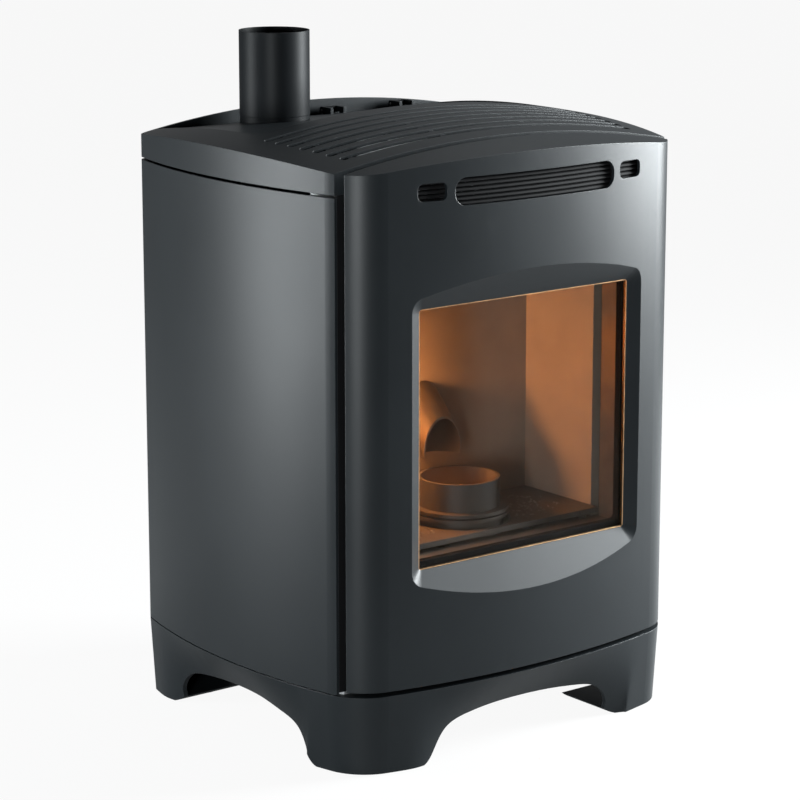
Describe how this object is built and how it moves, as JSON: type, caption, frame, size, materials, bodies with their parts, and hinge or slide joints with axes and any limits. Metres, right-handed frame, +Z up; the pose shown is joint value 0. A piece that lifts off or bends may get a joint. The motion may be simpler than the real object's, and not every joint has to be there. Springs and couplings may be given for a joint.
{
  "type": "pellet stove",
  "caption": "Free-standing pellet stove with bowed casing, domed louvred cap, glazed hinged door, flue spigot, hopper lid and a cast base on feet.",
  "frame": {"origin": "on the floor at the middle of the overall plan box", "axes": "+Z up, door towards -Y, flue towards +Y, X across the front"},
  "size_m": [0.506, 0.45, 0.766],
  "materials": {
    "base_skirt": "satin anthracite powder coat",
    "foot_pads": "black rubber",
    "floor_plate": "matt black heat-resistant paint",
    "left_side_panel": "satin anthracite powder coat",
    "right_side_panel": "satin anthracite powder coat",
    "back_panel": "matt black heat-resistant paint",
    "top_cap": "satin anthracite powder coat",
    "rear_deck": "satin anthracite powder coat",
    "lid_hinge_posts": "matt black heat-resistant paint",
    "lid_hinge_pins": "plain sheet or turned steel",
    "flue_pipe": "matt black heat-resistant paint",
    "body_hinge_leaves": "matt black heat-resistant paint",
    "hinge_pins": "plain sheet or turned steel",
    "latch_keeper": "plain sheet or turned steel",
    "front_frame": "matt black heat-resistant paint",
    "firebox_mouth": "plain sheet or turned steel",
    "firebox_shell": "matt black heat-resistant paint",
    "left_liner": "heat-tinted cast iron",
    "right_liner": "heat-tinted cast iron",
    "back_liner": "heat-tinted cast iron",
    "firebox_shelf": "heat-tinted cast iron",
    "baffle": "heat-tinted cast iron",
    "heat_exchanger_tubes": "plain sheet or turned steel",
    "burn_pot_stand": "heat-tinted cast iron",
    "pellet_chute": "plain sheet or turned steel",
    "auger_tube": "plain sheet or turned steel",
    "auger_bush": "sintered bronze",
    "auger_gearmotor": "plain sheet or turned steel",
    "hopper": "plain sheet or turned steel",
    "combustion_air_box": "plain sheet or turned steel",
    "air_intake_pipe": "matt black heat-resistant paint",
    "igniter": "plain sheet or turned steel",
    "smoke_collector": "plain sheet or turned steel",
    "exhaust_blower_housing": "plain sheet or turned steel",
    "exhaust_motor": "plain sheet or turned steel",
    "room_fan_case": "plain sheet or turned steel",
    "room_fan_motor": "plain sheet or turned steel",
    "air_riser": "plain sheet or turned steel",
    "chassis_sides": "matt black heat-resistant paint",
    "ash_drawer": "plain sheet or turned steel",
    "drawer_runners": "plain sheet or turned steel",
    "power_inlet": "black moulded plastic",
    "rocker_switch_frame": "black moulded plastic",
    "door_shell": "satin anthracite powder coat",
    "door_glass": "clear ceramic glass",
    "glass_gasket": "black woven glass fibre",
    "door_inner_frame": "matt black heat-resistant paint",
    "inner_frame_screws": "plain sheet or turned steel",
    "door_rope_seal": "black woven glass fibre",
    "door_hinge_leaves": "matt black heat-resistant paint",
    "latch_pin": "plain sheet or turned steel",
    "latch_hook": "plain sheet or turned steel",
    "hopper_lid": "satin anthracite powder coat",
    "lid_gasket": "black rubber",
    "burn_pot": "heat-tinted cast iron",
    "auger_screw": "plain sheet or turned steel",
    "exhaust_impeller": "plain sheet or turned steel",
    "room_fan_drum": "plain sheet or turned steel",
    "rocker_switch": "black moulded plastic",
    "reset_button": "black moulded plastic"
  },
  "bodies": {
    "casing": {"base_skirt": "base_skirt", "foot_pads": "foot_pads", "floor_plate": "floor_plate", "left_side_panel": "left_side_panel", "right_side_panel": "right_side_panel", "back_panel": "back_panel", "top_cap": "top_cap", "rear_deck": "rear_deck", "lid_hinge_posts": "lid_hinge_posts", "lid_hinge_pins": "lid_hinge_pins", "flue_pipe": "flue_pipe", "body_hinge_leaves": "body_hinge_leaves", "hinge_pins": "hinge_pins", "latch_keeper": "latch_keeper", "front_frame": "front_frame", "firebox_mouth": "firebox_mouth", "firebox_shell": "firebox_shell", "left_liner": "left_liner", "right_liner": "right_liner", "back_liner": "back_liner", "firebox_shelf": "firebox_shelf", "baffle": "baffle", "heat_exchanger_tubes": "heat_exchanger_tubes", "burn_pot_stand": "burn_pot_stand", "pellet_chute": "pellet_chute", "auger_tube": "auger_tube", "auger_bush": "auger_bush", "auger_gearmotor": "auger_gearmotor", "hopper": "hopper", "combustion_air_box": "combustion_air_box", "air_intake_pipe": "air_intake_pipe", "igniter": "igniter", "smoke_collector": "smoke_collector", "exhaust_blower_housing": "exhaust_blower_housing", "exhaust_motor": "exhaust_motor", "room_fan_case": "room_fan_case", "room_fan_motor": "room_fan_motor", "air_riser": "air_riser", "chassis_sides": "chassis_sides", "ash_drawer": "ash_drawer", "drawer_runners": "drawer_runners", "power_inlet": "power_inlet", "rocker_switch_frame": "rocker_switch_frame"},
    "door": {"door_shell": "door_shell", "door_glass": "door_glass", "glass_gasket": "glass_gasket", "door_inner_frame": "door_inner_frame", "inner_frame_screws": "inner_frame_screws", "door_rope_seal": "door_rope_seal", "door_hinge_leaves": "door_hinge_leaves", "latch_pin": "latch_pin"},
    "latch": {"latch_hook": "latch_hook"},
    "lid": {"hopper_lid": "hopper_lid", "lid_gasket": "lid_gasket"},
    "pot": {"burn_pot": "burn_pot"},
    "auger": {"auger_screw": "auger_screw"},
    "exhaust_fan": {"exhaust_impeller": "exhaust_impeller"},
    "room_fan": {"room_fan_drum": "room_fan_drum"},
    "power_rocker": {"rocker_switch": "rocker_switch"},
    "reset": {"reset_button": "reset_button"}
  },
  "joints": [
    {"name": "door_hinge", "type": "hinge", "parent": "casing", "child": "door", "pos_m": [0.2233, -0.1748, 0.36], "axis": [0, 0, 1], "range_deg": [0, 100]},
    {"name": "latch_turn", "type": "hinge", "parent": "door", "child": "latch", "pos_m": [-0.2, -0.186, 0.36], "axis": [1, 0, 0], "range_deg": [-30, 0]},
    {"name": "lid_hinge", "type": "hinge", "parent": "casing", "child": "lid", "pos_m": [0.08, 0.188, 0.66204], "axis": [-1, 0, 0], "range_deg": [0, 75]},
    {"name": "pot_lift", "type": "slide", "parent": "casing", "child": "pot", "axis": [0, 0, 1], "range_m": [0, 0.012]},
    {"name": "auger_turn", "type": "hinge", "parent": "casing", "child": "auger", "pos_m": [0, 0.045, 0.412], "axis": [0, 0.4226, -0.9063], "continuous": true},
    {"name": "exhaust_fan_spin", "type": "hinge", "parent": "casing", "child": "exhaust_fan", "pos_m": [-0.12, 0.136, 0.168], "axis": [0, 1, 0], "continuous": true},
    {"name": "room_fan_spin", "type": "hinge", "parent": "casing", "child": "room_fan", "pos_m": [0.155, 0.066, 0.134], "axis": [1, 0, 0], "continuous": true},
    {"name": "rocker_tilt", "type": "hinge", "parent": "casing", "child": "power_rocker", "pos_m": [0.14, 0.198, 0.268], "axis": [0, 0, 1], "range_deg": [-10, 10]},
    {"name": "reset_press", "type": "slide", "parent": "casing", "child": "reset", "axis": [0, -1, 0], "range_m": [0, 0.002], "stiffness_N_per_m": 150}
  ]
}
